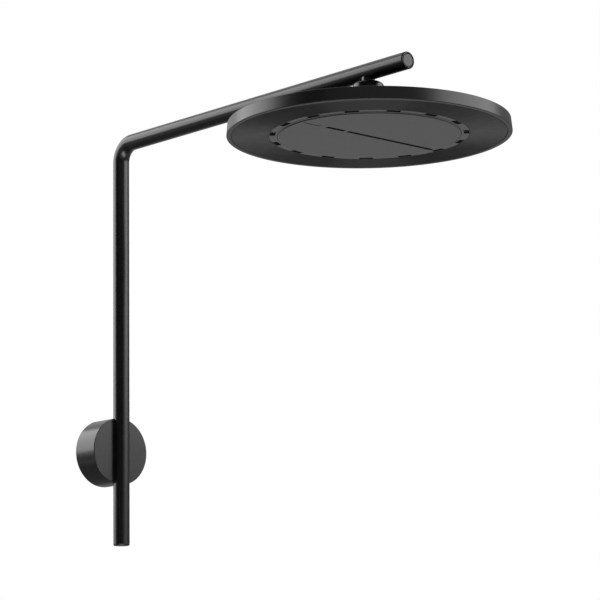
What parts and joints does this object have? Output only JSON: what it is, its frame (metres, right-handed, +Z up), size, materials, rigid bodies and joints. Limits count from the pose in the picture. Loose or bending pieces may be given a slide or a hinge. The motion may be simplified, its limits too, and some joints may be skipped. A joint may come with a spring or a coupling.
{
  "type": "wall mounted rain shower",
  "caption": "Satin black wall-mounted rain shower: drum wall flange, bent tube as riser and arm, ball swivel, and a thin round rose with a ring of spray slots",
  "frame": {"origin": "centre of the wall flange on the wall plane, at the mouth of the threaded inlet", "axes": "+Z up; +Y into the wall, so the shower reaches out along -Y; +X to the right for a viewer who faces the wall"},
  "size_m": [0.3046, 0.6123, 0.4855],
  "materials": {
    "satin_black": "satin",
    "spun_black": "satin",
    "plate_black": "satin",
    "ring_black": "matte",
    "nozzle_rubber": "matte",
    "seal_rubber": "matte",
    "seat_plastic": "matte",
    "chamber_plastic": "matte",
    "plain_brass": "satin",
    "bare_steel": "satin"
  },
  "bodies": {
    "arm": {"wall_plate": "bare_steel", "wall_flange": "satin_black", "flange_grub_screws": "bare_steel", "inlet_union": "plain_brass", "inlet_o_rings": "seal_rubber", "inlet_washer": "seal_rubber", "arm_inlet_boss": "plain_brass", "arm_lock_nut": "plain_brass", "shower_arm": "satin_black", "riser_end_plug": "satin_black", "riser_plug_o_ring": "seal_rubber", "arm_end_cap": "satin_black", "arm_cap_o_ring": "seal_rubber", "arm_outlet_boss": "plain_brass", "neck_saddle": "satin_black", "stud_o_ring": "seal_rubber", "ball_stud": "satin_black"},
    "lower_seat": {"ball_seal": "seat_plastic"},
    "upper_seat": {"ball_liner": "seat_plastic"},
    "rose": {"swivel_nut": "satin_black", "rose_hub": "satin_black", "hub_o_ring": "seal_rubber", "hub_gasket": "seal_rubber", "strainer": "bare_steel", "flow_regulator": "seat_plastic", "rose_cover": "satin_black", "rose_face": "spun_black", "spray_ring": "ring_black", "nozzles": "nozzle_rubber", "centre_plate": "plate_black", "plate_grommets": "seal_rubber", "chamber_base": "chamber_plastic", "chamber_lid": "chamber_plastic", "chamber_seal": "seal_rubber", "chamber_screws": "bare_steel"}
  },
  "joints": [
    {"name": "rose_spin", "type": "hinge", "parent": "arm", "child": "lower_seat", "pos_m": [0, -0.46, 0.342], "axis": [0, 0, 1], "continuous": true},
    {"name": "rose_pitch", "type": "hinge", "parent": "lower_seat", "child": "upper_seat", "pos_m": [0, -0.46, 0.342], "axis": [1, 0, 0], "range_deg": [-8, 8]},
    {"name": "rose_roll", "type": "hinge", "parent": "upper_seat", "child": "rose", "pos_m": [0, -0.46, 0.342], "axis": [0, 1, 0], "range_deg": [-8, 8]}
  ]
}
